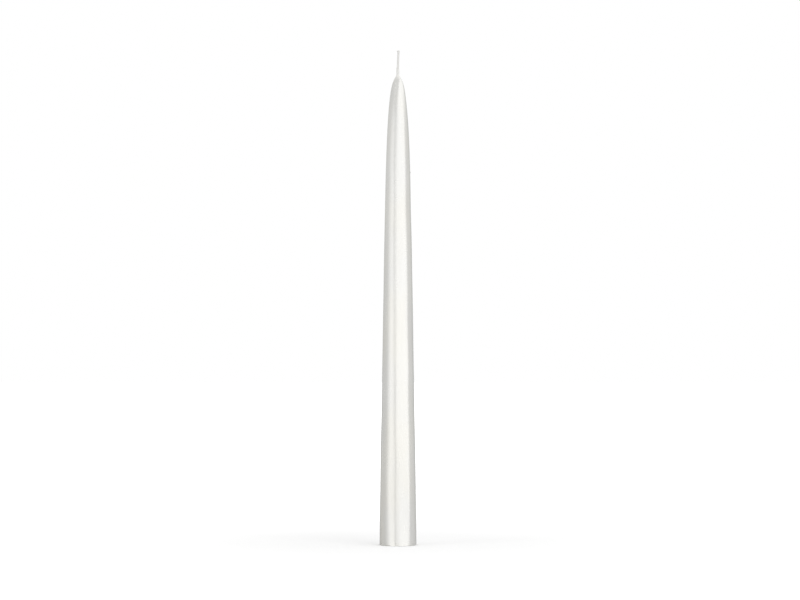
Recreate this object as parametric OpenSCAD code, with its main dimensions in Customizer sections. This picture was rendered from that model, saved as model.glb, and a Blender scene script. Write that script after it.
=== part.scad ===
// Taper candle: a dipped wax taper on a full-length cotton wick.
// Millimetres, +Z up, origin at the centre of the foot's underside.

/* [Shank] */
// Length of the wax, from the foot to the point
wax_l = 285; // [200:1:400]
// Width of the foot
foot_d = 22.4; // [19:0.1:26]
// Width that the straight shank would still have at the point
neck_d = 13.6; // [9:0.1:18]
// Radius of the soft edge round the foot
foot_edge_r = 0.8; // [0.2:0.1:2]

/* [Shoulder and point] */
// How late the shank draws in to the shoulder, where higher is later
shoulder_lateness = 9.3; // [4:0.1:20]
// How full the shoulder is, where higher is fuller
shoulder_fullness = 2.9; // [1.6:0.1:4]
// Angle across the cut point
point_angle = 69; // [40:1:90]
// How crisp the knee between shoulder and point is, where higher is crisper
knee_crispness = 3.8; // [2:0.2:12]
// How crisply the point turns up into the skin on the wick
root_crispness = 6; // [3:0.5:10]

/* [Wick] */
// Thickness of the wick
wick_d = 1.4; // [1:0.1:2.5]
// Length of wick that stands clear of the wax
wick_free_l = 15; // [10:0.5:30]
// How far the wick bends to the right over its bare length
wick_lean = 0.4; // [0:0.1:3]
// Length of the cut end, where the strands spread
wick_end_l = 0.8; // [0.4:0.1:2]
// How far the strands of the cut end spread, all round
wick_end_spread = 0.2; // [0:0.05:0.6]

/* [Wax skin on the wick] */
// Thickness of the wax skin round the root of the wick
skin_t = 0.1; // [0.05:0.01:0.4]
// Height that the wax skin climbs up the wick
skin_l = 5; // [2:0.5:7]

/* [Hidden] */
$fn = 96;
// Colours of the pearl wax and of the cotton
pearl = "#f1efe9";
cotton = "#e6e4df";
// Steps along the outline and round the foot's edge
outline_steps = 72;
edge_steps = 8;
// The outline's steps crowd towards the point, where it curves most
crowding = 2.4;
// Radius of the wax skin, which lies on the wick
skin_r = wick_d / 2 + skin_t;
// Height at which the sides of the point would meet
apex_z = wax_l + skin_r / tan(point_angle / 2);
// Top of the wax skin, where the bare wick starts
skin_top_z = wax_l + skin_l;
// Length of the bare wick, and the share of it below the cut end
bare_l = wick_free_l - skin_l;
plain_share = 1 - wick_end_l / bare_l;
// Sides of the wick, and its rings below and along the cut end
wick_sides = 24;
plain_rings = 10;
end_rings = 3;
// How far a cutter runs past the faces that it opens
past = 1;

// The smaller of two radii, with the corner between them rounded off
function smaller(a, b, crispness) = pow(pow(a, -crispness) + pow(b, -crispness), -1 / crispness);

// The larger of two radii, with the corner between them filled in
function larger(a, b, crispness) = pow(pow(a, crispness) + pow(b, crispness), 1 / crispness);

// Radius of the straight shank
function shank_r(z) = (foot_d + (neck_d - foot_d) * z / apex_z) / 2;

// Share of the shank's radius that the shoulder leaves
function shoulder(z) = pow(1 - pow(z / apex_z, shoulder_lateness), 1 / shoulder_fullness);

// Radius of the cut point
function point_r(z) = (apex_z - z) * tan(point_angle / 2);

// Radius of the shank, its shoulder and its point, without the skin
function bare_r(z) = smaller(shank_r(z) * shoulder(z), point_r(z), knee_crispness);

// Radius of the wax at a height
function wax_r(z) = z < apex_z ? larger(bare_r(z), skin_r, root_crispness) : skin_r;

// Height of each step of the outline above the foot's edge
function step_z(i) = apex_z - (apex_z - foot_edge_r) * pow(1 - i / outline_steps, crowding);

function foot_edge() = [
    for (i = [0 : edge_steps - 1])
        let (a = 90 * i / edge_steps)
        [wax_r(foot_edge_r) - foot_edge_r * (1 - sin(a)), foot_edge_r * (1 - cos(a))]
];

function side() = [
    for (i = [0 : outline_steps])
        [wax_r(step_z(i)), step_z(i)]
];

// The wax sets round the wick, so its bore has the wick's own width
module wax_taper() {
    color(pearl)
    difference() {
        rotate_extrude()
        polygon(concat([[0, 0]], foot_edge(), side(), [[skin_r, skin_top_z], [0, skin_top_z]]));
        translate([0, 0, -past])
        cylinder(h = skin_top_z + 2 * past, d = wick_d);
    }
}

// Middle of the bare wick, which leaves the skin upright and bends to the right
function bare_mid(share) = [wick_lean * pow(share, 2), 0, skin_top_z + bare_l * share];

// Angle of the bare wick from upright
function bare_tilt(share) = atan(2 * wick_lean * share / bare_l);

// Radius of the bare wick, whose strands spread at the cut end
function bare_wick_r(share) =
    wick_d / 2 + wick_end_spread * pow(max(0, share - plain_share) / (1 - plain_share), 2);

// One round of points about a middle, square to the wick
function ring(mid, tilt, r) = [
    for (k = [0 : wick_sides - 1])
        let (a = 360 * k / wick_sides)
        mid + r * [cos(a) * cos(tilt), sin(a), -cos(a) * sin(tilt)]
];

function wick_shares() = concat(
    [for (i = [0 : plain_rings]) plain_share * i / plain_rings],
    [for (i = [1 : end_rings]) plain_share + (1 - plain_share) * i / end_rings]
);

// The first ring lies in the foot's underside, and the wax holds the wick from there to the skin's top
function wick_points() = concat(
    ring([0, 0, 0], 0, wick_d / 2),
    [for (share = wick_shares()) each ring(bare_mid(share), bare_tilt(share), bare_wick_r(share))]
);

// The four-sided faces between one ring and the next
function band(first) = [
    for (k = [0 : wick_sides - 1])
        let (next = (k + 1) % wick_sides)
        [first + k, first + wick_sides + k, first + wick_sides + next, first + next]
];

module wick() {
    points = wick_points();
    last = len(points) - wick_sides;
    color(cotton)
    polyhedron(
        points = points,
        faces = concat(
            [[for (k = [0 : wick_sides - 1]) k]],
            [for (first = [0 : wick_sides : last - wick_sides]) each band(first)],
            [[for (k = [wick_sides - 1 : -1 : 0]) last + k]]
        )
    );
}

wax_taper();
wick();
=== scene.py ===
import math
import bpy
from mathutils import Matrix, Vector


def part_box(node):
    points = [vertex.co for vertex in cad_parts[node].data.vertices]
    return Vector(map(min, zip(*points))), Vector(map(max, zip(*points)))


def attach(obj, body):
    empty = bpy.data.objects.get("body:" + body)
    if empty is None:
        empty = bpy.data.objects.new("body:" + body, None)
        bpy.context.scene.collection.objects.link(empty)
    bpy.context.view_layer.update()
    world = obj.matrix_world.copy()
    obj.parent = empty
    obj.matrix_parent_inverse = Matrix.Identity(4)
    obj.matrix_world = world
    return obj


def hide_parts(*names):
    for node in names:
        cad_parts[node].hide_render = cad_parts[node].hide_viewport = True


bl_info = {
    "name": "Taper candle",
    "version": (1, 0, 0),
    "blender": (4, 5, 0),
    "location": "3D View > Sidebar > Candle",
    "description": "A dipped taper candle with a pearl finish and a braided cotton wick",
    "category": "Add Mesh",
}

import bpy
import numpy as np
from mathutils import Vector

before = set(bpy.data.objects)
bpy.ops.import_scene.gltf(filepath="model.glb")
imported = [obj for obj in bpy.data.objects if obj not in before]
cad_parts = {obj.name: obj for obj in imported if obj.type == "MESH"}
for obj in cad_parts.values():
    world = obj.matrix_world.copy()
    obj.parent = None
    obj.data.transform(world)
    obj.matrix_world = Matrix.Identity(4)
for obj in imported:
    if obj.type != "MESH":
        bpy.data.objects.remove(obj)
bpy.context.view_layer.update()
WICK_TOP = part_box("wick")[1].z
FOOT_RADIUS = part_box("wax_taper")[1].x

MM = 0.001
TURN = 2 * math.pi


# Sizes and colours that a user would change

LENGTH = {"unit": "LENGTH", "subtype": "DISTANCE"}
COLOUR = {"subtype": "COLOR", "size": 3, "min": 0.0, "max": 1.0}


class WaxSizes(bpy.types.PropertyGroup):
    """Sizes of the dipped wax: the CAD part's, except the skin's two sides and the waves"""

    length: bpy.props.FloatProperty(
        name="Wax length",
        description="From the foot to the point",
        default=0.285,
        min=0.2,
        max=0.4,
        **LENGTH,
    )
    foot_width: bpy.props.FloatProperty(
        name="Foot width",
        description="Width of the straight shank at the foot",
        default=0.0224,
        min=0.019,
        max=0.026,
        **LENGTH,
    )
    neck_width: bpy.props.FloatProperty(
        name="Neck width",
        description="Width that the straight shank would still have at the point",
        default=0.0136,
        min=0.009,
        max=0.018,
        **LENGTH,
    )
    edge_radius: bpy.props.FloatProperty(
        name="Foot edge radius",
        description="Radius of the soft edge round the foot",
        default=0.0008,
        min=0.0002,
        max=0.002,
        **LENGTH,
    )
    shoulder_lateness: bpy.props.FloatProperty(
        name="Shoulder lateness",
        description="How late the shank draws in to the shoulder",
        default=9.3,
        min=4,
        max=20,
    )
    shoulder_fullness: bpy.props.FloatProperty(
        name="Shoulder fullness",
        description="How full the shoulder is",
        default=2.9,
        min=1.6,
        max=4,
    )
    point_angle: bpy.props.FloatProperty(
        name="Point angle",
        description="Angle across the cut point",
        default=math.radians(69),
        min=math.radians(40),
        max=math.radians(90),
        subtype="ANGLE",
        unit="ROTATION",
    )
    knee_crispness: bpy.props.FloatProperty(
        name="Knee crispness",
        description="How crisp the knee between shoulder and point is",
        default=3.8,
        min=2,
        max=12,
    )
    root_crispness: bpy.props.FloatProperty(
        name="Root crispness",
        description="How crisply the point turns up into the skin on the wick",
        default=6.0,
        min=3,
        max=10,
    )
    skin_height: bpy.props.FloatProperty(
        name="Skin height",
        description="Height that the wax skin climbs up the wick",
        default=0.005,
        min=0.002,
        max=0.007,
        **LENGTH,
    )
    skin_thin: bpy.props.FloatProperty(
        name="Skin, thin side",
        description="Thickness of the wax skin on the right of the wick",
        default=0.00003,
        min=0.0,
        max=0.0004,
        **LENGTH,
    )
    skin_thick: bpy.props.FloatProperty(
        name="Skin, thick side",
        description="Thickness of the wax skin on the left of the wick, where it ran and set",
        default=0.00026,
        min=0.0,
        max=0.0006,
        **LENGTH,
    )
    waviness: bpy.props.FloatProperty(
        name="Dipping waves",
        description="How far the dipped surface strays from its true outline",
        default=0.00006,
        min=0.0,
        max=0.0004,
        **LENGTH,
    )


class WickSizes(bpy.types.PropertyGroup):
    """Sizes of the braided wick: the CAD part's, except the pitch, the fibres and the fuzz"""

    width: bpy.props.FloatProperty(
        name="Wick width",
        description="Thickness of the braid",
        default=0.0014,
        min=0.001,
        max=0.0025,
        **LENGTH,
    )
    free_length: bpy.props.FloatProperty(
        name="Free length",
        description="Length of wick that stands clear of the wax",
        default=0.015,
        min=0.01,
        max=0.03,
        **LENGTH,
    )
    lean: bpy.props.FloatProperty(
        name="Lean",
        description="How far the wick bends to the right over its bare length",
        default=0.0004,
        min=0.0,
        max=0.003,
        **LENGTH,
    )
    end_length: bpy.props.FloatProperty(
        name="Cut end",
        description="Length of the cut end, where the strands spread",
        default=0.0008,
        min=0.0004,
        max=0.002,
        **LENGTH,
    )
    end_spread: bpy.props.FloatProperty(
        name="Spread",
        description="How far the strands of the cut end spread, all round",
        default=0.0002,
        min=0.0,
        max=0.0006,
        **LENGTH,
    )
    pitch: bpy.props.FloatProperty(
        name="Braid pitch",
        description="Length in which a strand goes once round the wick",
        default=0.006,
        min=0.003,
        max=0.012,
        **LENGTH,
    )
    fibres: bpy.props.IntProperty(
        name="Loose fibres",
        description="Fibres that stand out of each strand's cut end",
        default=14,
        min=0,
        max=30,
    )
    fuzz: bpy.props.IntProperty(
        name="Fuzz",
        description="Fine hairs that stand out along the bare wick",
        default=30,
        min=0,
        max=200,
    )


class CandleFinish(bpy.types.PropertyGroup):
    """Colours and gloss of the wax and the cotton"""

    pearl: bpy.props.FloatVectorProperty(
        name="Pearl wax",
        description="Colour of the pearl finish",
        default=(0.87, 0.862, 0.831),
        **COLOUR,
    )
    shimmer: bpy.props.FloatProperty(
        name="Shimmer",
        description="Share of the pearl finish that mirrors as metal does",
        default=0.5,
        min=0.0,
        max=1.0,
        subtype="FACTOR",
    )
    softness: bpy.props.FloatProperty(
        name="Softness",
        description="Roughness of the pearl finish",
        default=0.24,
        min=0.05,
        max=1.0,
        subtype="FACTOR",
    )
    cotton: bpy.props.FloatVectorProperty(
        name="Cotton",
        description="Colour of the waxed cotton",
        default=(0.95, 0.944, 0.922),
        **COLOUR,
    )


class StudioSettings(bpy.types.PropertyGroup):
    """Camera, floor and light"""

    camera_distance: bpy.props.FloatProperty(
        name="Camera distance",
        description="From the camera to the middle of the candle",
        default=2.04,
        min=0.5,
        max=6,
        **LENGTH,
    )
    camera_height: bpy.props.FloatProperty(
        name="Camera height",
        description="Height of the level camera above the floor",
        default=0.14864,
        min=0.0,
        max=1,
        **LENGTH,
    )
    camera_aside: bpy.props.FloatProperty(
        name="Camera aside",
        description="How far the camera stands to the right of the candle",
        default=0.0012,
        min=-0.1,
        max=0.1,
        **LENGTH,
    )
    view_width: bpy.props.FloatProperty(
        name="View width",
        description="Width of the picture where the candle stands",
        default=0.48534,
        min=0.1,
        max=2,
        **LENGTH,
    )
    floor: bpy.props.FloatVectorProperty(
        name="Floor",
        description="Colour of the floor",
        default=(0.85, 0.85, 0.85),
        **COLOUR,
    )
    room_level: bpy.props.FloatProperty(
        name="Room light",
        description="Level of the even light that comes from all round",
        default=0.79,
        min=0.0,
        max=2,
    )
    bank_level: bpy.props.FloatProperty(
        name="Light banks",
        description="Level of the tall light banks on the right",
        default=0.19,
        min=0.0,
        max=3,
    )
    strip_level: bpy.props.FloatProperty(
        name="Light strip",
        description="Level of the low light on the left",
        default=0.06,
        min=0.0,
        max=3,
    )
    key_level: bpy.props.FloatProperty(
        name="Key lights",
        description="Level of the soft lights on both sides",
        default=1.25,
        min=0.0,
        max=10,
    )


# Meshes


def smooth(value, low, high):
    """0 below low, 1 above high, and an even turn between them"""
    share = np.clip((value - low) / (high - low), 0, 1)
    return share * share * (3 - 2 * share)


def band_faces(rings, sides, closed=False):
    """The four-sided faces between each ring of points and the next"""
    last = rings if closed else rings - 1
    ring = np.arange(last)[:, None]
    side = np.arange(sides)[None, :]
    after = (ring + 1) % rings
    beside = (side + 1) % sides
    places = ((ring, side), (ring, beside), (after, beside), (after, side))
    corners = [np.broadcast_to(row * sides + place, (last, sides)) for row, place in places]
    return np.stack(corners, axis=-1).reshape(-1, 4)


def new_object(name, points, faces, material):
    """A mesh object with smooth faces, in the scene"""
    mesh = bpy.data.meshes.new(name)
    mesh.from_pydata(points.tolist(), [], faces)
    mesh.validate()
    mesh.polygons.foreach_set("use_smooth", [True] * len(mesh.polygons))
    mesh.materials.append(material)
    mesh.update()
    made = bpy.data.objects.new(name, mesh)
    bpy.context.scene.collection.objects.link(made)
    return made


def keep_values(made, name, values):
    """Keeps a number or vector for each point of an object, for its material to read"""
    kind, field = ("FLOAT_VECTOR", "vector") if values.ndim == 2 else ("FLOAT", "value")
    kept = made.data.attributes.new(name, kind, "POINT")
    kept.data.foreach_set(field, values.astype(np.float32).ravel())


# Outline of the wax, as in the CAD part

# Least radius that a rounded corner can be worked out for
LEAST_RADIUS = 1e-7
# The CAD part's even skin, which sets where the sides of the point would meet
EVEN_SKIN = 0.1 * MM


def smaller(a, b, crispness):
    """The smaller of two radii, with the corner between them rounded off"""
    return (a**-crispness + b**-crispness) ** (-1 / crispness)


def larger(a, b, crispness):
    """The larger of two radii, with the corner between them filled in"""
    return (a**crispness + b**crispness) ** (1 / crispness)


def bare_radius(wax, apex, z):
    """Radius of the shank, its shoulder and its point, without the skin"""
    shank = (wax.foot_width + (wax.neck_width - wax.foot_width) * z / apex) / 2
    drawn_in = np.maximum(1 - (z / apex) ** wax.shoulder_lateness, 0)
    shoulder = np.maximum(shank * drawn_in ** (1 / wax.shoulder_fullness), LEAST_RADIUS)
    point = np.maximum((apex - z) * math.tan(wax.point_angle / 2), LEAST_RADIUS)
    return smaller(shoulder, point, wax.knee_crispness)


# Surface of the wax, as the dipping left it

SEGMENTS = 192
UNDERSIDE_RINGS = 14
EDGE_RINGS = 10
SIDE_RINGS = 250
SKIN_RINGS = 22
LIP_RINGS = 5
BORE_RINGS = 12
# The side's rings crowd towards the point, where it curves most
SIDE_CROWDING = 1.9
# Rings of its own that each drop gets, and how near another ring may come
DROP_RINGS = 9
RING_GAP = 0.05 * MM
# The wax has run into the braid, so its bore is narrower: shares of the wick's radius
FOOT_BORE_SHARE = 0.08
LIP_BORE_SHARE = 0.8
# How far the cut underside is dished, and the height of the rounded lip on top of the skin
CUT_DISH = 0.08 * MM
LIP_HEIGHT = 0.14 * MM
# How fast the skin thins from left to right
SKIN_THINNING = 1.6
# Top of the skin, in millimetres: how much lower it is on the thin side and all round, and how
# much of its ragged waves it has
SKIN_TOP_FALL = 1.5
SKIN_TOP_LOWER = 0.3
SKIN_TOP_RAGGED = 0.8
# Each ragged wave of the skin's top: rounds about the wick, how far it strays, where it starts
RAGGED_WAVES = ((2, 0.18, 0.7), (5, 0.12, 2.1), (9, 0.05, 0.0))
# The skin beads as it sets: the share of its radius, and how far the beads wind up the wick
BEADING = 0.035
BEADING_CLIMB = 7
# The skin is thin enough to show the strands beneath it, in full above this share of its height
SKIN_RELIEF = 0.022 * MM
SKIN_RELIEF_FROM = 0.3
# Each wave of the dipped surface: rounds about the candle, and length along it
WAVES = ((1, 0.083), (2, 0.12), (2, 0.047), (3, 0.15), (3, 0.064), (4, 0.039), (5, 0.052))
WAVE_SHARES = (0.6, 1.0)
WAVES_SEED = 11
# Height at which the surface strays in full, and heights between which the waves die out
STRAYS_FROM = 0.014
WAVES_END = (0.262, 0.283)
# Swells and hollows that the dipping left: degrees to the right of the front, how far round in
# degrees, height, how far up and down, and how far each stands out. The first goes all round
SWELLS = (
    (0, 900, 0.048, 0.026, 0.00026),
    (90, 45, 0.2035, 0.01, -0.0002),
    (90, 50, 0.2725, 0.01, -0.00027),
    (-160, 40, 0.13, 0.02, 0.00012),
    (140, 35, 0.19, 0.016, 0.0001),
)
# Drops of finish that set on the wax: degrees to the right of the front, height, radius and how
# far each stands out
DROPS = (
    (-22, 0.27755, 0.00044, 0.0003),
    (-27, 0.28, 0.00042, 0.00028),
    (58, 0.2762, 0.0004, 0.0001),
    (148, 0.2733, 0.00044, 0.00014),
    (-118, 0.2668, 0.00048, 0.00014),
    (86, 0.226, 0.0007, 0.00034),
)


def dipping_waves(turn, z):
    """An even mix of long waves round and along the candle, between -1 and 1"""
    draw = np.random.default_rng(WAVES_SEED)
    total = np.zeros(np.broadcast(turn, z).shape)
    for rounds, length in WAVES:
        share = draw.uniform(*WAVE_SHARES)
        total += share * np.cos(rounds * turn + TURN * z / length + draw.uniform(0, TURN))
    return total / np.abs(total).max()


def from_right_of_front(turn, aside):
    """Angle from a place that lies so many degrees to the right of the front"""
    return (turn - math.radians(aside - 90) + math.pi) % TURN - math.pi


def skin_shape(wax, wick, turn):
    """Radius of the skin on the wick, and the height of its top"""
    left = (0.5 - 0.5 * np.cos(turn)) ** SKIN_THINNING
    skin = wick.width / 2 + wax.skin_thin + (wax.skin_thick - wax.skin_thin) * left
    ragged = sum(out * np.sin(rounds * turn + start) for rounds, out, start in RAGGED_WAVES)
    lower = SKIN_TOP_FALL * (1 - left) + SKIN_TOP_LOWER + SKIN_TOP_RAGGED * ragged
    return skin, wax.length + wax.skin_height - LIP_HEIGHT - lower * MM


def side_levels(apex, edge):
    """Heights of the side's rings, with close ones at each drop"""
    levels = apex - (apex - edge) * (1 - np.linspace(0, 1, SIDE_RINGS)) ** SIDE_CROWDING
    drops = [height + radius * np.linspace(-1, 1, DROP_RINGS) for _, height, radius, _ in DROPS]
    apart = [z for z in levels[1:-1] if all(abs(z - drop).min() > RING_GAP for drop in drops)]
    return np.sort(np.concatenate([levels[[0, -1]], apart, *drops]))


def dipped(wax, turn, z, side):
    """The radius of the side with the waves, swells and drops that the dipping left"""
    start = smooth(z, wax.edge_radius, STRAYS_FROM)
    strays = start * (1 - smooth(z, *WAVES_END))
    side = side + wax.waviness * dipping_waves(turn, z) * strays
    for aside, reach, height, climb, out in SWELLS:
        across = from_right_of_front(turn, aside) / math.radians(reach)
        swell = np.exp(-(across**2 + ((z - height) / climb) ** 2) / 2)
        side = side + out * swell * start
    for aside, height, radius, out in DROPS:
        away = np.hypot(from_right_of_front(turn, aside) * side, z - height)
        side = side + out * (1 - smooth(away, 0, radius))
    return side


def wax_grid(wax, wick):
    """Angle, radius and height of every point of the wax, from the bore's foot round the outside"""
    turn = (np.arange(SEGMENTS) / SEGMENTS * TURN)[None, :]
    flat = np.ones_like(turn)
    apex = wax.length + (wick.width / 2 + EVEN_SKIN) / math.tan(wax.point_angle / 2)
    foot_bore = wick.width / 2 * FOOT_BORE_SHARE
    lip_bore = wick.width / 2 * LIP_BORE_SHARE
    skin, skin_top = skin_shape(wax, wick, turn)
    edge = wax.edge_radius
    foot = bare_radius(wax, apex, np.array([edge]))[0]

    share = np.linspace(0, 1, UNDERSIDE_RINGS)[:, None]
    under_r = (foot_bore + (foot - edge - foot_bore) * share) * flat
    under_z = CUT_DISH * (1 - share**2) * flat

    angle = np.linspace(0, math.pi / 2, EDGE_RINGS + 1)[1:-1, None]
    edge_r = (foot - edge * (1 - np.sin(angle))) * flat
    edge_z = edge * (1 - np.cos(angle)) * flat

    side_z = side_levels(apex, edge)[:, None] * flat
    side_r = larger(bare_radius(wax, apex, side_z), skin, wax.root_crispness)
    side_r = dipped(wax, turn, side_z, side_r)

    up = np.linspace(0, 1, SKIN_RINGS + 1)[1:, None]
    skin_z = apex + (skin_top - apex) * up
    beading = 1 + BEADING * np.sin(up * BEADING_CLIMB + 2 * turn) * np.sin(up * math.pi)
    along = np.sin(STRANDS_EACH_WAY * TURN * skin_z / wick.pitch)
    strands = np.sin(STRANDS_EACH_WAY * turn) * along
    skin_r = skin * beading + SKIN_RELIEF * strands * smooth(up, 0, SKIN_RELIEF_FROM)

    lip = np.linspace(0, math.pi / 2, LIP_RINGS + 1)[1:, None]
    lip_r = lip_bore + (skin_r[-1:] - lip_bore) * np.cos(lip)
    lip_z = skin_top + LIP_HEIGHT * np.sin(lip)

    down = np.linspace(0, 1, BORE_RINGS + 1)[1:-1, None]
    bore_r = (lip_bore + (foot_bore - lip_bore) * down) * flat
    bore_z = lip_z[-1:] + (CUT_DISH - lip_z[-1:]) * down

    radius = np.concatenate([under_r, edge_r, side_r, skin_r, lip_r, bore_r])
    height = np.concatenate([under_z, edge_z, side_z, skin_z, lip_z, bore_z])
    return turn, radius, height


def wax_mesh(wax, wick, material):
    """The wax as one closed surface, with the bore that holds the wick"""
    turn, radius, height = wax_grid(wax, wick)
    points = np.stack([radius * np.cos(turn), radius * np.sin(turn), height], axis=-1)
    faces = band_faces(len(radius), SEGMENTS, closed=True)
    return new_object("wax", points.reshape(-1, 3), faces.tolist(), material)


# Braid of the wick

STRANDS = 8
STRANDS_EACH_WAY = STRANDS // 2
STRAND_SIDES = 10
ROUND_STRAND = TURN * np.arange(STRAND_SIDES) / STRAND_SIDES
# Crossings in one pitch, rings between two of them where the braid shows, and how many crossings
# have those rings at the foot and below the point
CROSSINGS = 8
FINE_STEPS = 8
FINE_AT_FOOT = 3
FINE_BELOW_POINT = 4
# Shares of the wick's radius: middle of the braid, how far a strand swings in and out, half of
# its thickness and of its width, and how much wider it gets where it lies on top
BRAID_MIDDLE = 0.65
BRAID_SWING = 0.15
STRAND_HALF = 0.2
STRAND_HALF_WIDTH = 0.47
STRAND_WIDER = 0.05
# Length of a strand's cut end, how much thinner it gets there, and between how many millimetres
# below the wick's top it stops
STRAND_END = 0.2 * MM
STRAND_END_THINNER = 0.3
STRAND_SHORT = (0.14, 0.34)
# The strand whose cut end stands out to the left, and how far
SPLAYED_STRAND = 4
SPLAYED_OUT = 0.72 * MM
# The wax squeezes the strands at the foot: up to this height, and how much narrower they get
SQUEEZED_END = 0.4 * MM
SQUEEZED_NARROWER = 0.5
# The core thread: share of the wick's radius, rings of its bare length, how far below the wick's
# top it stops, and its tone
CORE_SHARE = 0.46
CORE_RINGS = 24
CORE_SHORT = 0.32 * MM
CORE_TONE = 0.4
# Loose fibres. Shares of the length: how far one rises, and how far it may bend sideways. The
# bend starts late and slackens, and the end is thinner
FIBRE_SIDES = 5
FIBRE_STEPS = 7
FIBRE_RADIUS = 0.014 * MM
FIBRE_RISE = 0.92
FIBRE_BEND = 0.5
FIBRE_BEND_LATENESS = 1.5
FIBRE_BEND_SLACK = 0.4
FIBRE_THINNER = 0.55
# Fibres are too fine for plies, so a whole one has one place in the yarn
FIBRE_YARN = np.array([1.0, 0.0, 0.0])
FIBRE_TONES = (0.5, 1.0)
FIBRES_SEED = 5
# Fibres of the cut end: shares of the strand's half width between which they start, how deep in
# it, lengths in millimetres, and how far they curl outward
END_FIBRE_PLACES = (0.1, 0.9)
END_FIBRE_DEPTH = np.array([0, 0, 0.12 * MM])
END_FIBRE_LENGTHS = (0.22, 0.42)
END_FIBRE_CURLS = (0.1, 0.9)
# Hairs of the bare wick: share of its radius at which they start, lengths and curls
HAIR_ROOT = 0.9
HAIR_LENGTHS = (0.25, 0.55)
HAIR_CURLS = (0.5, 1.4)


def wick_line(wick, wax, z):
    """Middle of the wick, which bends to the right above the skin, and its angle from upright"""
    start = wax.length + wax.skin_height
    bare = wick.free_length - wax.skin_height
    share = np.clip((z - start) / bare, 0, None)
    return wick.lean * share**2, np.arctan(2 * wick.lean * share / bare)


def wick_spread(wick, wax, z):
    """How many times wider than the plain braid the wick is, because its cut end spreads"""
    top = wax.length + wick.free_length
    share = np.clip((z - (top - wick.end_length)) / wick.end_length, 0, 1)
    return 1 + wick.end_spread / (wick.width / 2) * share**2


def strand_levels(wick, wax, top):
    """Heights of a strand's rings: close where the braid shows, and one a crossing elsewhere"""
    step = wick.pitch / CROSSINGS
    starts = np.arange(0, int(top / step) + 1) * step
    shows = (starts < FINE_AT_FOOT * step) | (starts > wax.length - FINE_BELOW_POINT * step)
    levels = []
    for start, fine in zip(starts, shows):
        if fine:
            levels += [start + step * i / FINE_STEPS for i in range(FINE_STEPS)]
        else:
            levels += [start + step / 2]
    return np.array([z for z in levels if z < top - step / FINE_STEPS / 2] + [top])


def on_wick(wick, wax, x, y, z):
    """Places points that were worked out round an upright wick on the bent one"""
    middle, tilt = wick_line(wick, wax, z)
    return np.stack([middle + x * np.cos(tilt), y, z - x * np.sin(tilt)], axis=-1)


def yarn_places(lengths):
    """Each point's place round its strand, as cosine and sine, and along it in millimetres"""
    shape = (len(lengths), len(ROUND_STRAND))
    parts = (np.cos(ROUND_STRAND), np.sin(ROUND_STRAND), lengths[:, None] / MM)
    return np.stack([np.broadcast_to(part, shape) for part in parts], axis=-1)


def braid_strand(wick, wax, index, top):
    """Rings of one strand, and for each point its place round the strand and along it"""
    way = 1 if index % 2 == 0 else -1
    start = TURN * (index // 2) / STRANDS_EACH_WAY + (0 if way > 0 else TURN / STRANDS)
    z = strand_levels(wick, wax, top)
    along = TURN * z / wick.pitch
    over = way * np.cos(STRANDS_EACH_WAY * along - math.pi / 2)
    radius = wick.width / 2
    turn = start + way * along
    spread = wick_spread(wick, wax, z)
    middle = radius * (BRAID_MIDDLE + BRAID_SWING * over) * spread
    if index == SPLAYED_STRAND:
        middle = middle + SPLAYED_OUT * smooth(z, top - wick.end_length, top)
    centre = np.stack([middle * np.cos(turn), middle * np.sin(turn), z], axis=-1)
    forward = np.gradient(centre, axis=0)
    forward /= np.linalg.norm(forward, axis=1, keepdims=True)
    outward = np.stack([np.cos(turn), np.sin(turn), 0 * turn], axis=-1)
    aside = np.cross(forward, outward)
    aside /= np.linalg.norm(aside, axis=1, keepdims=True)
    thinner = 1 - STRAND_END_THINNER * smooth(z, top - STRAND_END, top)
    half = radius * STRAND_HALF * thinner
    squeezed = 1 - SQUEEZED_NARROWER * (1 - smooth(z, 0, SQUEEZED_END))
    half_width = radius * (STRAND_HALF_WIDTH + STRAND_WIDER * over) * spread * thinner * squeezed
    rings = (
        centre[:, None, :]
        + half[:, None, None] * np.cos(ROUND_STRAND)[None, :, None] * outward[:, None, :]
        + half_width[:, None, None] * np.sin(ROUND_STRAND)[None, :, None] * aside[:, None, :]
    )
    rings[..., 2] = np.clip(rings[..., 2], 0, None)
    rings[0, :, 2] = 0
    placed = on_wick(wick, wax, rings[..., 0], rings[..., 1], rings[..., 2])
    steps = np.linalg.norm(np.diff(centre, axis=0), axis=1)
    return placed, yarn_places(np.concatenate([[0], np.cumsum(steps)]))


def core_thread(wick, wax, top):
    """Rings of the thread inside the braid, and for each point its place round it and along it"""
    z = np.concatenate([[0.0], np.linspace(wax.length + wax.skin_height, top, CORE_RINGS)])
    thinner = 1 - STRAND_END_THINNER * smooth(z, top - STRAND_END, top)
    radius = (wick.width / 2 * CORE_SHARE * thinner)[:, None]
    x, y = radius * np.cos(ROUND_STRAND), radius * np.sin(ROUND_STRAND)
    return on_wick(wick, wax, x, y, z[:, None]), yarn_places(z)


def loose_fibre(start, outward, length, curl, draw):
    """Rings of one fibre, which leaves the wick and curls away from it"""
    share = np.linspace(0, 1, FIBRE_STEPS)[:, None]
    sideways = np.cross(outward, (0, 0, 1))
    bend = draw.uniform(-FIBRE_BEND, FIBRE_BEND) * share**FIBRE_BEND_LATENESS
    path = start + length * (
        share * np.array([0, 0, FIBRE_RISE])
        + curl * share**2 * outward
        + bend * (1 - FIBRE_BEND_SLACK * share) * sideways
    )
    path[:, 2] = np.minimum(path[:, 2], WICK_TOP)
    angle = TURN * np.arange(FIBRE_SIDES) / FIBRE_SIDES
    radius = FIBRE_RADIUS * (1 - FIBRE_THINNER * share)
    offsets = np.stack([np.cos(angle), np.sin(angle), 0 * angle], axis=-1)
    return path[:, None, :] + radius[:, None] * offsets[None, :, :]


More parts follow.
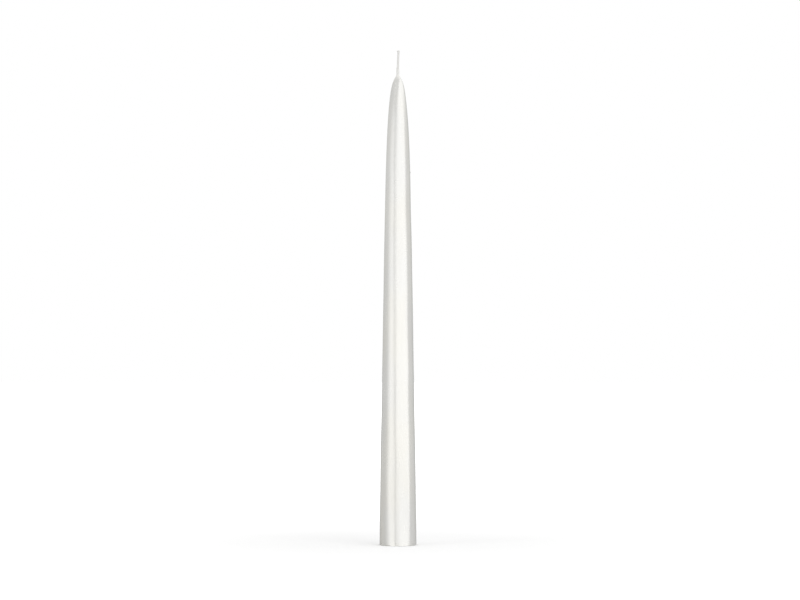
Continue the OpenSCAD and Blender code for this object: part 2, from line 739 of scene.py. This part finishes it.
def wick_mesh(wax, wick, material):
    """The wick as closed tubes: its strands with their loose fibres, the core thread, the hairs"""
    draw = np.random.default_rng(FIBRES_SEED)
    top = wax.length + wick.free_length
    points, yarns, tones, faces = [], [], [], []
    count = 0

    def add_tube(rings, yarn, tone):
        nonlocal count
        steps, sides = rings.shape[:2]
        faces.extend((band_faces(steps, sides) + count).tolist())
        faces.append([count + side for side in reversed(range(sides))])
        faces.append([count + (steps - 1) * sides + side for side in range(sides)])
        points.append(rings.reshape(-1, 3))
        yarns.append(yarn.reshape(-1, 3))
        tones.append(np.full(steps * sides, tone))
        count += steps * sides

    def add_fibre(root, away, lengths, curls):
        fibre = loose_fibre(root, away, draw.uniform(*lengths) * MM, draw.uniform(*curls), draw)
        add_tube(fibre, np.broadcast_to(FIBRE_YARN, fibre.shape), draw.uniform(*FIBRE_TONES))

    for index in range(STRANDS):
        end = top - draw.uniform(*STRAND_SHORT) * MM
        rings, yarn = braid_strand(wick, wax, index, end)
        add_tube(rings, yarn, draw.uniform(0.0, 1.0))
        middle = rings[-1].mean(axis=0)
        away = middle - np.array([wick_line(wick, wax, end)[0], 0, middle[2]])
        away /= np.linalg.norm(away)
        for _ in range(wick.fibres):
            at = rings[-1][draw.integers(STRAND_SIDES)]
            root = middle + (at - middle) * draw.uniform(*END_FIBRE_PLACES) - END_FIBRE_DEPTH
            add_fibre(root, away, END_FIBRE_LENGTHS, END_FIBRE_CURLS)

    add_tube(*core_thread(wick, wax, top - CORE_SHORT), CORE_TONE)
    bare_from = wax.length + wax.skin_height
    for _ in range(wick.fuzz):
        z = draw.uniform(bare_from, top - 2 * wick.end_length)
        angle = draw.uniform(0, TURN)
        away = np.array([math.cos(angle), math.sin(angle), 0.0])
        middle = np.array([wick_line(wick, wax, z)[0], 0, z])
        add_fibre(away * wick.width / 2 * HAIR_ROOT + middle, away, HAIR_LENGTHS, HAIR_CURLS)

    made = new_object("wick_braid", np.concatenate(points), faces, material)
    keep_values(made, "yarn", np.concatenate(yarns))
    keep_values(made, "tone", np.concatenate(tones))
    return made


# Materials

# Tints of the pearl: warm and cool clouds, the rubbed rim of the foot, and the painted light that
# lightens the point against the shade round the wick's root
WARM_TINT = (1.006, 1.0, 0.982)
COOL_TINT = (0.992, 0.997, 1.008)
RUBBED_TINT = (0.95, 0.935, 0.9)
POINT_PAINTED_LIGHT = (1.02, 1.02, 1.02)
# Tints of the cotton under the thin skin, and of the pearl that is left on the wick
UNDER_SKIN_TINT = (0.84, 0.84, 0.835)
ON_WICK_TINT = (0.98, 0.98, 0.96)
# Height of the rubbed rim and, from the wax's point, where the point dulls and takes its painted
# light, and where the skin thins
RIM_HEIGHT = 0.0022
POINT_DULLS_AND_PAINTED_LIGHT = (-3.0 * MM, -0.8 * MM)
SKIN_THINS = (-0.2 * MM, 1 * MM)
# How much rougher the rim and the point are, and shares of the shimmer left on point and skin
RIM_ROUGHER = 0.14
POINT_ROUGHER = 0.25
POINT_SHIMMER = 0.7
SKIN_SHIMMER = 0.57
WAX_IOR = 1.45
# Plies of a strand, and how fast they wind round it, in radians a millimetre
PLIES = 5.0
PLY_TWIST = 8.0
# Whites of the cards and of the background
CARD_WHITE = (1.0, 1.0, 0.985, 1.0)
WHITE = (1.0, 1.0, 1.0, 1.0)


class Nodes:
    """Puts nodes into a material or world and joins them"""

    def __init__(self, tree):
        self.tree = tree
        tree.nodes.clear()
        self.column = 0

    def add(self, kind, values=None, **settings):
        """A node of that kind. values are numbers, colours or sockets for its inputs"""
        node = self.tree.nodes.new(kind)
        self.column += 1
        node.location = (220 * self.column, 0)
        for name, value in settings.items():
            setattr(node, name, value)
        for key, value in (values or {}).items():
            self.put(node.inputs[key], value)
        return node

    def put(self, socket, value):
        """Joins a socket to an input, or gives it a plain value"""
        if isinstance(value, bpy.types.NodeSocket):
            self.tree.links.new(value, socket)
        else:
            socket.default_value = value

    def math(self, operation, a, b=0.0, clamp=False):
        values = {0: a, 1: b}
        return self.add("ShaderNodeMath", values, operation=operation, use_clamp=clamp).outputs[0]

    def times(self, a, b):
        return self.math("MULTIPLY", a, b)

    def span(self, value, low, high, to_low=0.0, to_high=1.0, kind="SMOOTHSTEP"):
        """Maps low to high onto to_low to to_high"""
        values = {"Value": value, "From Min": low, "From Max": high}
        values |= {"To Min": to_low, "To Max": to_high}
        return self.add("ShaderNodeMapRange", values, interpolation_type=kind).outputs["Result"]

    def mix(self, share, a, b, blend="MIX"):
        """Two colours, mixed by share"""
        node = self.add("ShaderNodeMix", {"Factor": share}, data_type="RGBA", blend_type=blend)
        for socket, value in ((node.inputs[6], a), (node.inputs[7], b)):
            linked = isinstance(value, bpy.types.NodeSocket)
            self.put(socket, value if linked else (*value[:3], 1.0))
        return node.outputs[2]

    def shaded(self, colour, shade):
        """A colour times a shade of grey"""
        grey = self.add("ShaderNodeCombineColor", {0: shade, 1: shade, 2: shade}).outputs[0]
        return self.mix(1.0, colour, grey, "MULTIPLY")

    def bump(self, height, distance, strength, normal=None):
        values = {"Height": height, "Distance": distance, "Strength": strength}
        if normal is not None:
            values["Normal"] = normal
        return self.add("ShaderNodeBump", values).outputs["Normal"]

    def noise(self, vector, scale, detail=2.0, roughness=0.5):
        values = {"Vector": vector, "Scale": scale, "Detail": detail, "Roughness": roughness}
        return self.add("ShaderNodeTexNoise", values).outputs["Fac"]

    def stretched(self, vector, scale):
        return self.add("ShaderNodeMapping", {"Vector": vector, "Scale": scale}).outputs["Vector"]

    def finish(self, surface, output="ShaderNodeOutputMaterial"):
        self.add(output, {"Surface": surface.outputs[0]})


def new_material(name):
    """A material with an empty node tree"""
    material = bpy.data.materials.new(name)
    material.use_nodes = True
    return material, Nodes(material.node_tree)


def tinted(colour, factors):
    """A colour times a factor for each of red, green and blue"""
    return tuple(min(1.0, c * f) for c, f in zip(colour, factors))


def pearl_material(finish, wax):
    """Pearl finish: fine mica in a soft clear film, with faint runs and clouds from the dipping,
    and painted light on the point
    """
    material, nodes = new_material("pearl_wax")
    place = nodes.add("ShaderNodeTexCoord").outputs["Object"]
    height = nodes.add("ShaderNodeSeparateXYZ", {0: place}).outputs["Z"]

    runs = nodes.noise(nodes.stretched(place, (1, 1, 0.12)), scale=230, detail=3, roughness=0.55)
    clouds = nodes.noise(nodes.stretched(place, (1, 1, 0.35)), scale=60)
    peel = nodes.noise(place, scale=1900)
    mica = nodes.add("ShaderNodeTexVoronoi", {"Vector": place, "Scale": 4200}, feature="F1")
    flake = nodes.add("ShaderNodeSeparateColor", {0: mica.outputs["Color"]}).outputs[0]

    warm = tinted(finish.pearl, WARM_TINT)
    cool = tinted(finish.pearl, COOL_TINT)
    colour = nodes.mix(nodes.span(clouds, 0.35, 0.65), warm, cool)
    colour = nodes.shaded(colour, nodes.span(runs, 0.3, 0.7, 0.975, 1.0))
    rim = nodes.span(height, 0.0, RIM_HEIGHT, 1.0, 0.0)
    rim = nodes.times(rim, nodes.span(peel, 0.35, 0.65))
    colour = nodes.mix(nodes.times(rim, 0.25), colour, tinted(finish.pearl, RUBBED_TINT))

    rough = nodes.span(runs, 0.25, 0.75, finish.softness - 0.03, finish.softness + 0.03)
    rough = nodes.math("ADD", rough, nodes.span(flake, 0, 1, -0.015, 0.015, "LINEAR"))
    rough = nodes.math("ADD", rough, nodes.times(rim, RIM_ROUGHER))
    point = nodes.span(height, *(wax.length + step for step in POINT_DULLS_AND_PAINTED_LIGHT))
    # Painted light: the point's colour is lightened against the shade round the root of the wick,
    # as well as dulled
    colour = nodes.mix(point, colour, tinted(finish.pearl, POINT_PAINTED_LIGHT))
    rough = nodes.math("ADD", rough, nodes.times(point, POINT_ROUGHER))
    thin = nodes.span(height, *(wax.length + step for step in SKIN_THINS))
    colour = nodes.mix(thin, colour, tinted(finish.cotton, UNDER_SKIN_TINT))
    shimmer = nodes.span(point, 0.0, 1.0, finish.shimmer, finish.shimmer * POINT_SHIMMER)
    shimmer = nodes.times(shimmer, nodes.span(thin, 0.0, 1.0, 1.0, SKIN_SHIMMER))

    normal = nodes.bump(runs, distance=0.02 * MM, strength=0.4)
    normal = nodes.bump(peel, distance=0.003 * MM, strength=0.5, normal=normal)
    normal = nodes.bump(flake, distance=0.0004 * MM, strength=0.5, normal=normal)

    surface = nodes.add(
        "ShaderNodeBsdfPrincipled",
        {
            "Base Color": colour,
            "Metallic": shimmer,
            "Roughness": rough,
            "Normal": normal,
            "IOR": WAX_IOR,
            "Coat Weight": 0.25,
            "Coat Roughness": 0.18,
            "Coat IOR": WAX_IOR,
        },
    )
    nodes.finish(surface)
    return material


def cotton_material(finish, wax):
    """Waxed cotton yarn: twisted plies with painted shade in their grooves, fine fibres along them,
    and more wax in it low down
    """
    material, nodes = new_material("wick_cotton")
    place = nodes.add("ShaderNodeTexCoord").outputs["Object"]
    height = nodes.add("ShaderNodeSeparateXYZ", {0: place}).outputs["Z"]
    yarn = nodes.add("ShaderNodeAttribute", attribute_name="yarn").outputs["Vector"]
    across = nodes.add("ShaderNodeSeparateXYZ", {0: yarn})
    tone = nodes.add("ShaderNodeAttribute", attribute_name="tone").outputs["Fac"]

    angle = nodes.math("ARCTAN2", across.outputs["Y"], across.outputs["X"])
    twist = nodes.times(across.outputs["Z"], PLY_TWIST)
    plies = nodes.math("SINE", nodes.math("ADD", nodes.times(angle, PLIES), twist))
    plies = nodes.span(plies, -1.0, 0.5)
    stretched = nodes.stretched(yarn, (7.0, 7.0, 0.8))
    fibres = nodes.noise(stretched, scale=3.0, detail=3, roughness=0.65)
    waxed_to = wax.length + wax.skin_height + 4 * MM
    waxed = nodes.span(height, wax.length, waxed_to, 1.0, 0.25)

    # Painted shade in the grooves between the plies, times the fibres' and strands' own tones
    shade = nodes.span(plies, 0.0, 1.0, 0.84, 1.0)
    shade = nodes.times(shade, nodes.span(fibres, 0.3, 0.7, 0.9, 1.0))
    shade = nodes.times(shade, nodes.span(tone, 0.0, 1.0, 0.95, 1.0, "LINEAR"))
    colour = nodes.shaded(finish.cotton, shade)
    colour = nodes.mix(nodes.times(waxed, 0.35), colour, tinted(finish.pearl, ON_WICK_TINT))

    rough = nodes.span(waxed, 0.0, 1.0, 0.78, 0.5, "LINEAR")
    normal = nodes.bump(plies, distance=0.04 * MM, strength=0.8)
    normal = nodes.bump(fibres, distance=0.015 * MM, strength=0.7, normal=normal)
    surface = nodes.add(
        "ShaderNodeBsdfPrincipled",
        {
            "Base Color": colour,
            "Roughness": rough,
            "Normal": normal,
            "IOR": WAX_IOR,
            "Sheen Weight": 0.12,
            "Sheen Roughness": 0.5,
        },
    )
    nodes.finish(surface)
    return material


def seen_directly(nodes):
    """1 for camera, glossy and transmission rays, and 0 for the rays that light the object"""
    path = nodes.add("ShaderNodeLightPath")
    seen = nodes.math("ADD", path.outputs["Is Camera Ray"], path.outputs["Is Glossy Ray"])
    return nodes.math("ADD", seen, path.outputs["Is Transmission Ray"], clamp=True)


def floor_material(studio):
    """Matt pale floor that keeps the candle's shadow, deepened by a painted contact shadow at the
    foot, and turns white further off
    """
    material, nodes = new_material("studio_floor")
    place = nodes.add("ShaderNodeTexCoord").outputs["Object"]
    away = nodes.add("ShaderNodeVectorMath", {0: place}, operation="LENGTH").outputs["Value"]
    shade = nodes.span(nodes.noise(place, scale=900), 0.3, 0.7, 0.99, 1.0)
    matt = nodes.add("ShaderNodeBsdfDiffuse", {"Color": nodes.shaded(studio.floor, shade)})
    # Whiter further off, and a painted contact shadow where the foot stands
    top_up = nodes.span(away, 0.05, 0.6, 0.2, 1.0)
    painted_contact_shadow = nodes.span(away, FOOT_RADIUS, FOOT_RADIUS * 1.25, 0.45, 1.0)
    top_up = nodes.times(top_up, painted_contact_shadow)
    level = nodes.times(top_up, seen_directly(nodes))
    glow = nodes.add("ShaderNodeEmission", {"Strength": level})
    nodes.finish(nodes.add("ShaderNodeAddShader", {0: matt.outputs[0], 1: glow.outputs[0]}))
    material.cycles.emission_sampling = "NONE"
    return material


def card_material(name, soft):
    """Card as bright as its points' levels say, whose left, right, lower and upper edges fade"""
    material, nodes = new_material(name)
    uv = nodes.add("ShaderNodeUVMap", uv_map="card").outputs[0]
    edge = nodes.add("ShaderNodeSeparateXYZ", {0: uv})
    across, up = edge.outputs["X"], edge.outputs["Y"]
    places = (across, nodes.math("SUBTRACT", 1.0, across), up, nodes.math("SUBTRACT", 1.0, up))
    solid = 1.0
    for place, fade in zip(places, soft):
        if fade:
            solid = nodes.times(solid, nodes.span(place, 0.0, fade))
    level = nodes.add("ShaderNodeAttribute", attribute_name="level").outputs["Fac"]
    clear = nodes.add("ShaderNodeBsdfTransparent").outputs[0]
    grey = nodes.add("ShaderNodeEmission", {"Color": CARD_WHITE, "Strength": level}).outputs[0]
    nodes.finish(nodes.add("ShaderNodeMixShader", {0: solid, 1: clear, 2: grey}))
    material.cycles.emission_sampling = "NONE"
    return material


# Stage

FLOOR_HALF = 4.0
CARD_STEPS = 48
# Heights of a card that lies on the floor, of two under it and of one on it
ON_FLOOR = 0.0002
UNDER_SLIM = 0.00015
UNDER_CARD = 0.0001
ON_CARD = 0.0003
# Distances of a floor card's first rows, in radii of the foot
ROW_SHARES = (1, 1.2, 1.6, 2.5, 5, 15)


def floor_rows(height, turn, level):
    """Rows of a card that lies on the floor, from the candle's foot to where the card stands up"""
    return tuple((FOOT_RADIUS * share, height, turn, level) for share in ROW_SHARES)


# Cards round the candle: left and right end in degrees to the right of the camera, share over
# which the left, right, inner and upper edges fade, and then the rows, each as distance from
# the candle, height, turn in degrees and level, where 1 is white
CARDS = {
    "card_left": (
        (-150, -57),
        (0.2, 0.43, 0, 0),
        *floor_rows(ON_FLOOR, 6, 0.44),
        (0.45, ON_FLOOR, 9, 0.44),
        (1, ON_FLOOR, 11, 0.44),
        (1, 0.045, 13, 0.45),
        (1, 0.1, 3, 0.47),
        (1, 0.2, -4, 0.56),
        (1, 0.52, -1.5, 0.68),
    ),
    "card_left_back": (
        (-170, -112),
        (0.1, 0.5, 0, 0),
        *floor_rows(ON_CARD, 0, 0.36),
        (0.98, ON_CARD, 0, 0.38),
        (0.98, 0.1, 0, 0.44),
        (0.98, 0.2, 0, 0.5),
        (0.98, 0.32, 0, 0.56),
        (0.98, 1.9, 0, 0.52),
    ),
    "card_slim": (
        (-22, -12),
        (0.2, 0.2, 0, 0),
        *floor_rows(ON_FLOOR, 1, 0.5),
        (1, ON_FLOOR, 1, 0.5),
        (1, 0.04, 0, 0.48),
        (1, 0.1, -5.5, 0.45),
        (1, 0.125, -6.5, 0.41),
        (1, 0.18, -15.5, 0.44),
        (1, 0.25, -16.5, 0.44),
        (1, 0.3, -17.5, 0.36),
        (1, 0.34, -17, 0.44),
        (1, 0.52, -18, 0.42),
    ),
    "card_slim_low": (
        (-22, 16),
        (1, 1, 0, 0.3),
        *floor_rows(UNDER_SLIM, 0, 0.1),
        (0.5, UNDER_SLIM, 0, 0.1),
        (1, UNDER_SLIM, 0, 0.1),
    ),
    "card_left_high": (
        (-150, 8),
        (0.15, 0.04, 0.1, 0),
        (1, 0.37, -25, 0.5),
        (1, 0.55, -8, 0.52),
        (1, 0.7, 7, 0.54),
        (1, 1.0, 14, 0.55),
        (1, 1.2, 26, 0.56),
        (1, 1.9, 30, 0.56),
    ),
    "card_right": (
        (76, 150),
        (0.08, 0.2, 0, 0.1),
        *floor_rows(ON_FLOOR, 0, 0.5),
        (1, ON_FLOOR, -1, 0.5),
        (1, 0.045, -3, 0.5),
        (1, 0.085, 1, 0.5),
        (1, 0.12, -1, 0.5),
        (1, 0.165, 1.8, 0.51),
        (1, 0.272, -1.5, 0.5),
        (1, 0.295, -6.5, 0.495),
        (1, 0.315, -9, 0.49),
        (1, 0.34, -6.5, 0.485),
        (1, 0.43, 4.5, 0.48),
        (1, 0.57, 5, 0.5),
    ),
    "card_right_back": (
        (114, 170),
        (0.5, 0.1, 0, 0),
        *floor_rows(ON_CARD, 0, 0.37),
        (0.98, ON_CARD, 0, 0.37),
        (0.98, 0.25, 0, 0.39),
        (0.98, 0.57, 0, 0.52),
    ),
    "card_bounce": (
        (-60, 76),
        (0.1, 0.1, 0, 0),
        (FOOT_RADIUS - 0.35 * MM, UNDER_CARD, 0, 1.5),
        (FOOT_RADIUS * 1.05, UNDER_CARD, 0, 1.35),
        *floor_rows(UNDER_CARD, 0, 1.3)[1:],
        (0.3, UNDER_CARD, 0, 0.99),
        (0.7, UNDER_CARD, 0, 1.05),
        (1.1, UNDER_CARD, 0, 1.08),
    ),
}
# Flat card above: left and right edge, front and back edge, height, grey level, and fades
CARD_ABOVE = (-1.6, 1.9, -1.6, 1.6, 1.9, 0.6, (0.05, 0.3, 0.05, 0.05))
# Lamps: degrees to the right of the camera, distance from the candle, height, height that it
# aims at, width and height of its face, the setting that holds its level, and whether the
# candle mirrors it
LAMPS = {
    "bank_right": (32, 1.3, 1.27, 1.27, 2.5, 2.5, "bank_level", True),
    "bank_side": (97, 1.3, 1.3, 1.3, 1.1, 1.6, "bank_level", True),
    "bank_left": (-47, 1.2, 0.28, 0.28, 0.5, 0.5, "strip_level", True),
    "key_right": (35, 0.5, 0.5, 0.2, 0.35, 0.35, "key_level", False),
    "key_left": (-55, 0.5, 0.5, 0.2, 0.25, 0.25, "key_level", False),
}


def card_object(name, points, levels, soft):
    """A card from rows of points, with each row's level and each point's place on the card"""
    rows = len(levels)
    columns = len(points) // rows
    # A card is open, so no face joins its last column to its first
    faces = band_faces(rows, columns).reshape(rows - 1, columns, 4)[:, :-1].reshape(-1, 4)
    card = new_object(name, points, faces.tolist(), card_material(name, soft))
    keep_values(card, "level", np.repeat(levels, columns))
    uv = card.data.uv_layers.new(name="card")
    corner = np.zeros(len(card.data.loops), np.int32)
    card.data.loops.foreach_get("vertex_index", corner)
    place = np.stack([corner % columns / (columns - 1), corner // columns / (rows - 1)], axis=-1)
    uv.data.foreach_set("uv", place.astype(np.float32).ravel())
    only_reflected(card)


def only_reflected(card):
    """The card shows in the candle's gloss and nowhere else"""
    for rays in ("camera", "diffuse", "transmission", "volume_scatter", "shadow"):
        setattr(card, f"visible_{rays}", False)


def round_card(name, left, right, soft, rows):
    """A card bent round the candle, which may also lie on the floor up to the candle's foot

    Close to the foot its ends turn in, so that their reflections run straight down the candle.
    """
    points = []
    for distance, height, turn, _ in rows:
        angle = np.radians(np.linspace(left, right, CARD_STEPS) + turn)
        angle -= np.arcsin(FOOT_RADIUS / distance * np.sin(angle / 2))
        x, y = distance * np.sin(angle), -distance * np.cos(angle)
        points.append(np.stack([x, y, 0 * angle + height], axis=-1))
    card_object(name, np.concatenate(points), [row[-1] for row in rows], soft)


def card_above():
    """A flat, level card above the candle"""
    left, right, front, back, height, level, soft = CARD_ABOVE
    points = np.array([(x, y, height) for y in (front, back) for x in (left, right)])
    card_object("card_above", points, [level, level], soft)


def area_lamp(name, aside, distance, height, aim, width, face_height, level, mirrored):
    """A flat lamp that looks as bright as level times white"""
    data = bpy.data.lights.new(name, "AREA")
    data.shape = "RECTANGLE"
    data.size, data.size_y = width, face_height
    data.energy = level * math.pi * width * face_height
    lamp = bpy.data.objects.new(name, data)
    bpy.context.scene.collection.objects.link(lamp)
    angle = math.radians(aside)
    lamp.location = (distance * math.sin(angle), -distance * math.cos(angle), height)
    lamp.rotation_euler = (Vector((0, 0, aim)) - lamp.location).to_track_quat("-Z", "Y").to_euler()
    lamp.visible_camera = False
    lamp.visible_glossy = mirrored


def studio_world(studio):
    """White where it is seen or mirrored, and the room light's level where it lights the candle"""
    world = bpy.data.worlds.new("studio_world")
    world.use_nodes = True
    bpy.context.scene.world = world
    nodes = Nodes(world.node_tree)
    level = nodes.span(seen_directly(nodes), 0.0, 1.0, studio.room_level, 1.0, "LINEAR")
    background = nodes.add("ShaderNodeBackground", {"Color": WHITE, "Strength": level})
    nodes.finish(background, "ShaderNodeOutputWorld")


def studio_camera(studio):
    """Level camera in front of the candle, whose picture is as wide there as the view width"""
    data = bpy.data.cameras.new("studio_camera")
    data.sensor_fit = "HORIZONTAL"
    data.lens = data.sensor_width * studio.camera_distance / studio.view_width
    camera = bpy.data.objects.new("studio_camera", data)
    bpy.context.scene.collection.objects.link(camera)
    camera.location = (studio.camera_aside, -studio.camera_distance, studio.camera_height)
    camera.rotation_euler = (math.pi / 2, 0, 0)
    bpy.context.scene.camera = camera


# Operators


class CANDLE_OT_stage(bpy.types.Operator):
    """Set up the floor, the cards, the lamps, the background and the camera"""

    bl_idname = "candle.stage"
    bl_label = "Stage"
    bl_options = {"REGISTER", "UNDO"}

    def execute(self, context):
        studio = context.scene.candle_studio
        corners = FLOOR_HALF * np.array([(-1, -1, 0), (1, -1, 0), (1, 1, 0), (-1, 1, 0)])
        floor = new_object("studio_floor", corners, [(0, 1, 2, 3)], floor_material(studio))
        for name, (ends, soft, *rows) in CARDS.items():
            round_card(name, *ends, soft, rows)
        card_above()
        for name, (*place, level, mirrored) in LAMPS.items():
            area_lamp(name, *place, getattr(studio, level), mirrored)
        studio_world(studio)
        studio_camera(studio)
        context.scene.view_settings.view_transform = "Standard"
        return {"FINISHED"}


class CANDLE_OT_wax(bpy.types.Operator):
    """Dip the wax taper and give it its pearl finish"""

    bl_idname = "candle.wax"
    bl_label = "Wax taper"
    bl_options = {"REGISTER", "UNDO"}

    def execute(self, context):
        scene = context.scene
        material = pearl_material(scene.candle_finish, scene.candle_wax)
        wax = wax_mesh(scene.candle_wax, scene.candle_wick, material)
        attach(wax, "root")
        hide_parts("wax_taper")
        return {"FINISHED"}


class CANDLE_OT_wick(bpy.types.Operator):
    """Braid the cotton wick and fray its cut end"""

    bl_idname = "candle.wick"
    bl_label = "Wick"
    bl_options = {"REGISTER", "UNDO"}

    def execute(self, context):
        scene = context.scene
        material = cotton_material(scene.candle_finish, scene.candle_wax)
        wick = wick_mesh(scene.candle_wax, scene.candle_wick, material)
        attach(wick, "root")
        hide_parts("wick")
        return {"FINISHED"}


class CANDLE_PT_panel(bpy.types.Panel):
    """Lists the candle's pieces and their sizes and colours"""

    bl_idname = "CANDLE_PT_panel"
    bl_label = "Taper candle"
    bl_space_type = "VIEW_3D"
    bl_region_type = "UI"
    bl_category = "Candle"

    def draw(self, context):
        for operator, group in PANEL_BOXES:
            box = self.layout.box()
            if operator:
                box.operator(operator)
            settings = getattr(context.scene, group)
            for name in settings.bl_rna.properties.keys():
                if name not in ("rna_type", "name"):
                    box.prop(settings, name)


# Operator and settings of each box in the panel
PANEL_BOXES = (
    ("candle.stage", "candle_studio"),
    ("candle.wax", "candle_wax"),
    ("candle.wick", "candle_wick"),
    (None, "candle_finish"),
)
GROUPS = {
    "candle_wax": WaxSizes,
    "candle_wick": WickSizes,
    "candle_finish": CandleFinish,
    "candle_studio": StudioSettings,
}
CLASSES = (*GROUPS.values(), CANDLE_OT_stage, CANDLE_OT_wax, CANDLE_OT_wick, CANDLE_PT_panel)


def register():
    for cls in CLASSES:
        bpy.utils.register_class(cls)
    for name, group in GROUPS.items():
        setattr(bpy.types.Scene, name, bpy.props.PointerProperty(type=group))


def unregister():
    for name in GROUPS:
        delattr(bpy.types.Scene, name)
    for cls in reversed(CLASSES):
        bpy.utils.unregister_class(cls)


def main():
    register()
    bpy.ops.candle.stage()
    bpy.ops.candle.wax()
    bpy.ops.candle.wick()


if __name__ == "__main__":
    main()
